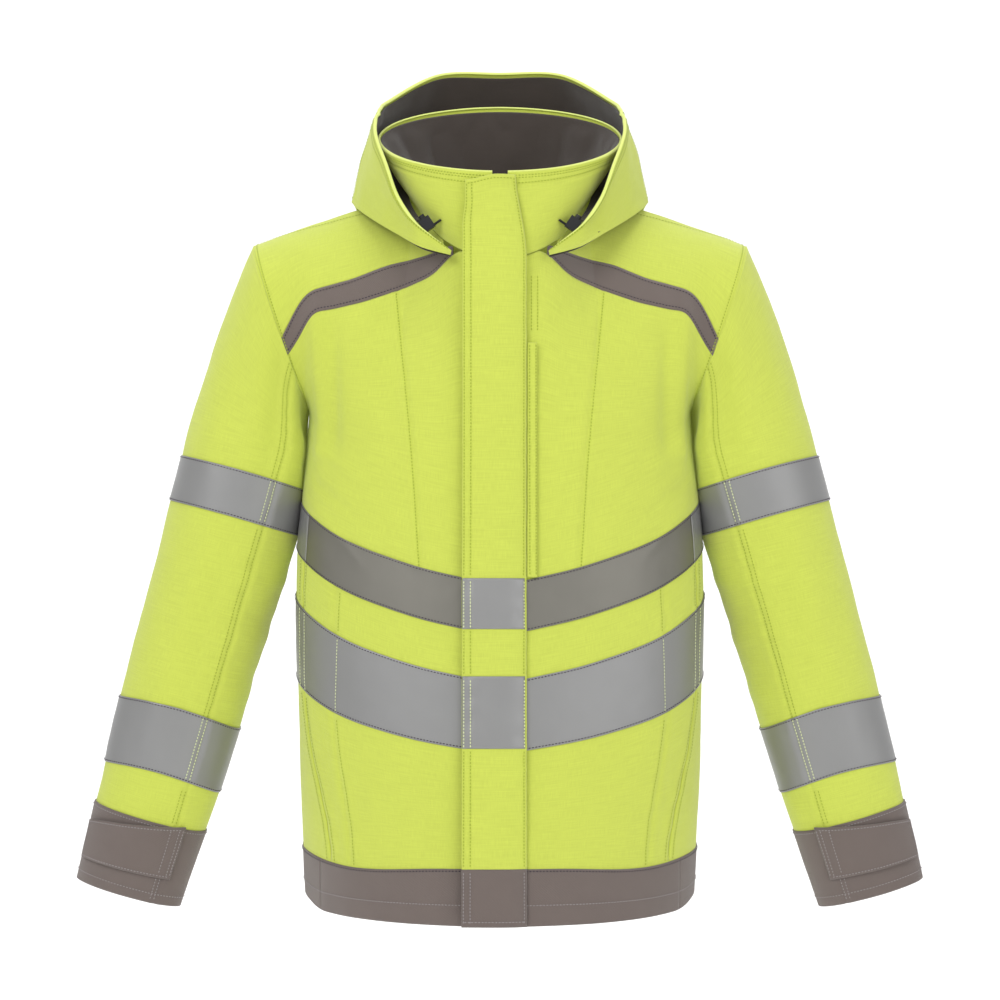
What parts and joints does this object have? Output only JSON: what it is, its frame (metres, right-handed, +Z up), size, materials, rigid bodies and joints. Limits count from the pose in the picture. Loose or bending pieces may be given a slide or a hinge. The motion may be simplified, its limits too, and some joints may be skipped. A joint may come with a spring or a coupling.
{
  "type": "turnout coat",
  "caption": "Hooded high-visibility turnout jacket with reflective tapes, storm flap over a front zip, collar, lowered hood and jointed sleeves with cuff tabs.",
  "frame": {"origin": "middle of the gap of the hanger loop, inside the back of the neck", "axes": "+Z up, the wearer faces -Y, +X is the wearer's left"},
  "size_m": [0.879, 0.3524, 0.8883],
  "materials": {
    "hi_vis_cloth": "matt plain weave with a faint slub",
    "grey_cloth": "matt twill",
    "reflective_tape": "satin silver, fine bead grain",
    "lining_cloth": "matt plain weave",
    "black_tape": "matt woven tape",
    "zip_plastic": "moulded",
    "zip_metal": "satin",
    "elastic": "braided cover",
    "lock_plastic": "moulded"
  },
  "bodies": {
    "coat": {"left_front_skirt": "hi_vis_cloth", "right_front_skirt": "hi_vis_cloth", "left_side_panel": "hi_vis_cloth", "right_side_panel": "hi_vis_cloth", "back_skirt": "hi_vis_cloth", "left_chest_panel": "hi_vis_cloth", "right_chest_panel": "hi_vis_cloth", "back_panel": "hi_vis_cloth", "left_shoulder_strip": "grey_cloth", "right_shoulder_strip": "grey_cloth", "left_yoke": "hi_vis_cloth", "right_yoke": "hi_vis_cloth", "left_hem_band": "grey_cloth", "right_hem_band": "grey_cloth", "back_hem_band": "grey_cloth", "left_chest_tape": "reflective_tape", "right_chest_tape": "reflective_tape", "back_chest_tape": "reflective_tape", "left_waist_tape": "reflective_tape", "right_waist_tape": "reflective_tape", "back_waist_tape": "reflective_tape", "torso_lining": "lining_cloth", "collar_outer": "hi_vis_cloth", "collar_lining": "lining_cloth", "hanger_loop": "lining_cloth", "hood_neck_band": "lining_cloth", "zip_tape_left": "black_tape", "zip_tape_right": "black_tape", "zip_teeth_left": "zip_plastic", "zip_teeth_right": "zip_plastic", "zip_bottom_stop": "zip_metal", "loop_strip": "black_tape", "chest_pocket_welt": "hi_vis_cloth"},
    "flap": {"storm_flap": "hi_vis_cloth", "flap_tapes": "reflective_tape", "flap_hem_band": "grey_cloth", "hook_strip": "black_tape"},
    "slider": {"zip_slider": "zip_metal"},
    "puller": {"zip_puller": "zip_metal"},
    "left_upper_arm": {"left_upper_sleeve": "hi_vis_cloth", "left_arm_tape": "reflective_tape"},
    "right_upper_arm": {"right_upper_sleeve": "hi_vis_cloth", "right_arm_tape": "reflective_tape"},
    "left_forearm": {"left_lower_sleeve": "hi_vis_cloth", "left_wrist_tape": "reflective_tape", "left_cuff": "grey_cloth"},
    "right_forearm": {"right_lower_sleeve": "hi_vis_cloth", "right_wrist_tape": "reflective_tape", "right_cuff": "grey_cloth"},
    "left_tab": {"left_cuff_tab": "grey_cloth"},
    "right_tab": {"right_cuff_tab": "grey_cloth"},
    "hood": {"hood_shell": "hi_vis_cloth", "hood_lining": "lining_cloth", "hood_facing": "lining_cloth", "left_elastic_cord": "elastic", "right_elastic_cord": "elastic", "left_cord_lock": "lock_plastic", "right_cord_lock": "lock_plastic"},
    "left_button": {"left_lock_button": "lock_plastic"},
    "right_button": {"right_lock_button": "lock_plastic"}
  },
  "joints": [
    {"name": "front_zip", "type": "slide", "parent": "coat", "child": "slider", "axis": [0, -0.0718, -0.9974], "range_m": [0, 0.7]},
    {"name": "zip_pull", "type": "hinge", "parent": "slider", "child": "puller", "pos_m": [0, -0.17092, -0.00458], "axis": [0, 0.9974, -0.0718], "range_deg": [-15, 15]},
    {"name": "flap_hinge", "type": "hinge", "parent": "coat", "child": "flap", "pos_m": [0.0262, -0.19728, -0.36362], "axis": [0, 0.0718, 0.9974], "range_deg": [0, 147]},
    {"name": "left_shoulder", "type": "hinge", "parent": "coat", "child": "left_upper_arm", "pos_m": [0.2565, -0.067, -0.048], "axis": [0, -1, 0], "range_deg": [0, 60]},
    {"name": "left_elbow", "type": "hinge", "parent": "left_upper_arm", "child": "left_forearm", "pos_m": [0.30338, -0.067, -0.42866], "axis": [-0.9628, 0, -0.2701], "range_deg": [0, 75]},
    {"name": "left_cuff_tab", "type": "hinge", "parent": "left_forearm", "child": "left_tab", "pos_m": [0.33056, -0.09424, -0.68069], "axis": [0.2701, 0, -0.9628], "range_deg": [0, 105]},
    {"name": "right_shoulder", "type": "hinge", "parent": "coat", "child": "right_upper_arm", "pos_m": [-0.2565, -0.067, -0.048], "axis": [0, 1, 0], "range_deg": [0, 60]},
    {"name": "right_elbow", "type": "hinge", "parent": "right_upper_arm", "child": "right_forearm", "pos_m": [-0.30338, -0.067, -0.42866], "axis": [-0.9628, 0, 0.2701], "range_deg": [0, 75]},
    {"name": "right_cuff_tab", "type": "hinge", "parent": "right_forearm", "child": "right_tab", "pos_m": [-0.33056, -0.09424, -0.68069], "axis": [0.2701, 0, 0.9628], "range_deg": [0, 105]},
    {"name": "hood_raise", "type": "hinge", "parent": "coat", "child": "hood", "pos_m": [0, -0.175, -0.07], "axis": [1, 0, 0], "range_deg": [0, 50]},
    {"name": "left_cord_lock", "type": "slide", "parent": "hood", "child": "left_button", "axis": [-0.5736, 0, -0.8192], "range_m": [0, 0.0025], "stiffness_N_per_m": 300, "springref_m": -0.004},
    {"name": "right_cord_lock", "type": "slide", "parent": "hood", "child": "right_button", "axis": [0.5736, 0, -0.8192], "range_m": [0, 0.0025], "stiffness_N_per_m": 300, "springref_m": -0.004}
  ]
}
